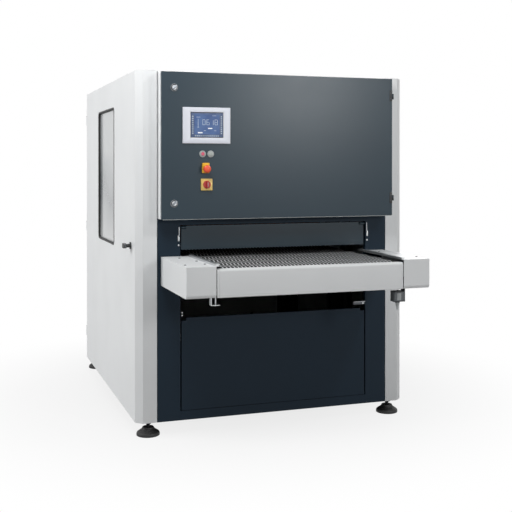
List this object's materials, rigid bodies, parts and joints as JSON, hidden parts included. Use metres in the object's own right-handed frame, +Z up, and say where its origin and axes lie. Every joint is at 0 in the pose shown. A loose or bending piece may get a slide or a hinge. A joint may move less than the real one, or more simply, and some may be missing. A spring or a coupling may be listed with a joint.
{
  "type": "sheet metal deburring machine",
  "caption": "Through-feed sheet metal deburring machine: white cabinet, dark control door, conveyor table, height-adjustable tool head, levelling feet.",
  "frame": {"origin": "on the floor, at the centre of the machine's footprint", "axes": "+X to the right as the operator at the infeed sees it, +Y along the feed from infeed to outfeed, +Z up"},
  "size_m": [1.584, 2.821, 1.865],
  "materials": {
    "white_paint": "textured powder coat, satin",
    "anthracite_paint": "textured powder coat, satin",
    "table_paint": "powder coat, satin",
    "frame_paint": "powder coat, matt",
    "zinc_steel": "zinc plated",
    "black_steel": "blackened",
    "foot_steel": "black coated",
    "cast_iron": "as cast",
    "motor_paint": "enamel, satin",
    "aluminium": "anodised",
    "roller_metal": "turned",
    "panel_metal": "painted silver",
    "chrome": "polished",
    "belt_rubber": "ribbed, matt",
    "drum_rubber": "ground, matt",
    "black_rubber": "matt",
    "abrasive_cloth": "coated abrasive",
    "brush_fibre": "abrasive nylon",
    "black_plastic": "moulded",
    "grey_plastic": "moulded",
    "yellow_plastic": "moulded",
    "red_plastic": "moulded",
    "red_button": "moulded",
    "white_button": "moulded",
    "display_glass": "display behind clear cover",
    "window_glass": "polycarbonate, clear"
  },
  "bodies": {
    "root": {"machine_frame": "frame_paint", "roof_panel": "white_paint", "rear_panel": "white_paint", "rear_corner_posts": "white_paint", "extraction_spigot": "zinc_steel", "front_columns": "anthracite_paint", "inlet_soffit": "anthracite_paint", "front_plinth": "anthracite_paint", "control_housing": "white_paint", "mounting_plate": "zinc_steel", "switchgear": "grey_plastic", "mains_gland": "black_plastic", "conveyor_frame": "frame_paint", "slider_bed": "zinc_steel", "conveyor_belt": "belt_rubber", "roller_bearings": "cast_iron", "infeed_cover_left": "table_paint", "infeed_cover_right": "table_paint", "outfeed_covers": "table_paint", "side_guides": "aluminium", "conveyor_gearmotor": "motor_paint", "trip_switch": "grey_plastic", "trip_bar_bracket": "zinc_steel", "lifting_columns": "frame_paint", "hinge_pins": "black_steel", "fasteners": "zinc_steel"},
    "cabinet_door": {"cabinet_door": "anthracite_paint", "operator_panel": "panel_metal", "operator_display": "display_glass", "button_collars": "chrome", "estop_housing": "yellow_plastic", "switch_plate": "yellow_plastic"},
    "upper_door_lock": {"upper_door_lock": "chrome"},
    "lower_door_lock": {"lower_door_lock": "chrome"},
    "estop_mushroom": {"estop_mushroom": "red_plastic"},
    "stop_button": {"stop_button": "red_button"},
    "start_button": {"start_button": "white_button"},
    "main_switch_handle": {"main_switch_handle": "red_plastic"},
    "left_side_door": {"left_side_door": "white_paint", "window_seal": "black_rubber", "window_pane": "window_glass"},
    "left_door_latch": {"left_door_latch": "black_plastic"},
    "right_side_door": {"right_side_door": "white_paint"},
    "right_door_latch": {"right_door_latch": "black_plastic"},
    "inlet_flap": {"inlet_flap": "anthracite_paint"},
    "trip_bar": {"trip_bar": "table_paint"},
    "lower_front_panel": {"lower_front_panel": "anthracite_paint"},
    "drive_roller": {"drive_roller": "roller_metal"},
    "idler_roller": {"idler_roller": "roller_metal"},
    "head": {"head_frame": "frame_paint", "head_motors": "motor_paint", "lifting_rams": "black_steel", "abrasive_belt": "abrasive_cloth"},
    "contact_drum": {"contact_drum": "drum_rubber"},
    "tension_roller": {"tension_roller": "roller_metal"},
    "brush_roller": {"brush_roller": "brush_fibre"},
    "foot_front_left": {"foot_front_left": "foot_steel"},
    "foot_front_right": {"foot_front_right": "foot_steel"},
    "foot_rear_left": {"foot_rear_left": "foot_steel"},
    "foot_rear_right": {"foot_rear_right": "foot_steel"}
  },
  "joints": [
    {"name": "cabinet_door_hinge", "type": "hinge", "parent": "root", "child": "cabinet_door", "pos_m": [0.648, -0.962, 1.48], "axis": [0, 0, 1], "range_deg": [0, 120]},
    {"name": "upper_lock_turn", "type": "hinge", "parent": "cabinet_door", "child": "upper_door_lock", "pos_m": [-0.576, -0.973, 1.772], "axis": [0, -1, 0], "range_deg": [0, 90]},
    {"name": "lower_lock_turn", "type": "hinge", "parent": "cabinet_door", "child": "lower_door_lock", "pos_m": [-0.576, -0.973, 1.19], "axis": [0, -1, 0], "range_deg": [0, 90]},
    {"name": "estop_press", "type": "slide", "parent": "cabinet_door", "child": "estop_mushroom", "axis": [0, 1, 0], "range_m": [0, 0.005], "stiffness_N_per_m": 1500},
    {"name": "stop_press", "type": "slide", "parent": "cabinet_door", "child": "stop_button", "axis": [0, 1, 0], "range_m": [0, 0.0035], "stiffness_N_per_m": 600},
    {"name": "start_press", "type": "slide", "parent": "cabinet_door", "child": "start_button", "axis": [0, 1, 0], "range_m": [0, 0.0035], "stiffness_N_per_m": 600},
    {"name": "main_switch_turn", "type": "hinge", "parent": "cabinet_door", "child": "main_switch_handle", "pos_m": [-0.408, -0.973, 1.284], "axis": [0, 1, 0], "range_deg": [0, 90]},
    {"name": "left_door_hinge", "type": "hinge", "parent": "root", "child": "left_side_door", "pos_m": [-0.746, 0.852, 0.95], "axis": [0, 0, -1], "range_deg": [0, 110]},
    {"name": "left_latch_turn", "type": "hinge", "parent": "left_side_door", "child": "left_door_latch", "pos_m": [-0.75, -0.74, 0.965], "axis": [1, 0, 0], "range_deg": [0, 90]},
    {"name": "right_door_hinge", "type": "hinge", "parent": "root", "child": "right_side_door", "pos_m": [0.746, 0.852, 0.95], "axis": [0, 0, 1], "range_deg": [0, 110]},
    {"name": "right_latch_turn", "type": "hinge", "parent": "right_side_door", "child": "right_door_latch", "pos_m": [0.75, -0.74, 0.965], "axis": [1, 0, 0], "range_deg": [0, 90]},
    {"name": "inlet_flap_swing", "type": "hinge", "parent": "root", "child": "inlet_flap", "pos_m": [0, -0.876, 1.063], "axis": [1, 0, 0], "range_deg": [0, 30]},
    {"name": "trip_bar_press", "type": "slide", "parent": "root", "child": "trip_bar", "axis": [0, 1, 0], "range_m": [0, 0.005], "stiffness_N_per_m": 2000},
    {"name": "lower_panel_tilt", "type": "hinge", "parent": "root", "child": "lower_front_panel", "pos_m": [0, -0.876, 0.133], "axis": [1, 0, 0], "range_deg": [0, 60]},
    {"name": "drive_roller_spin", "type": "hinge", "parent": "root", "child": "drive_roller", "pos_m": [0, 1.325, 0.842], "axis": [1, 0, 0], "continuous": true},
    {"name": "idler_roller_spin", "type": "hinge", "parent": "root", "child": "idler_roller", "pos_m": [0, -1.325, 0.842], "axis": [1, 0, 0], "continuous": true},
    {"name": "head_lift", "type": "slide", "parent": "root", "child": "head", "axis": [0, 0, 1], "range_m": [-0.028, 0.07]},
    {"name": "drum_spin", "type": "hinge", "parent": "head", "child": "contact_drum", "pos_m": [0, -0.3, 1.0273], "axis": [1, 0, 0], "continuous": true},
    {"name": "tension_roller_spin", "type": "hinge", "parent": "head", "child": "tension_roller", "pos_m": [0, -0.3, 1.5873], "axis": [1, 0, 0], "continuous": true},
    {"name": "brush_spin", "type": "hinge", "parent": "head", "child": "brush_roller", "pos_m": [0, 0.25, 1.06], "axis": [1, 0, 0], "continuous": true},
    {"name": "foot_front_left_screw", "type": "slide", "parent": "root", "child": "foot_front_left", "axis": [0, 0, -1], "range_m": [0, 0.03]},
    {"name": "foot_front_right_screw", "type": "slide", "parent": "root", "child": "foot_front_right", "axis": [0, 0, -1], "range_m": [0, 0.03]},
    {"name": "foot_rear_left_screw", "type": "slide", "parent": "root", "child": "foot_rear_left", "axis": [0, 0, -1], "range_m": [0, 0.03]},
    {"name": "foot_rear_right_screw", "type": "slide", "parent": "root", "child": "foot_rear_right", "axis": [0, 0, -1], "range_m": [0, 0.03]}
  ],
  "couplings": [
    {"joint": "idler_roller_spin", "follows": "drive_roller_spin", "ratio": 1},
    {"joint": "tension_roller_spin", "follows": "drum_spin", "ratio": 1.5}
  ]
}
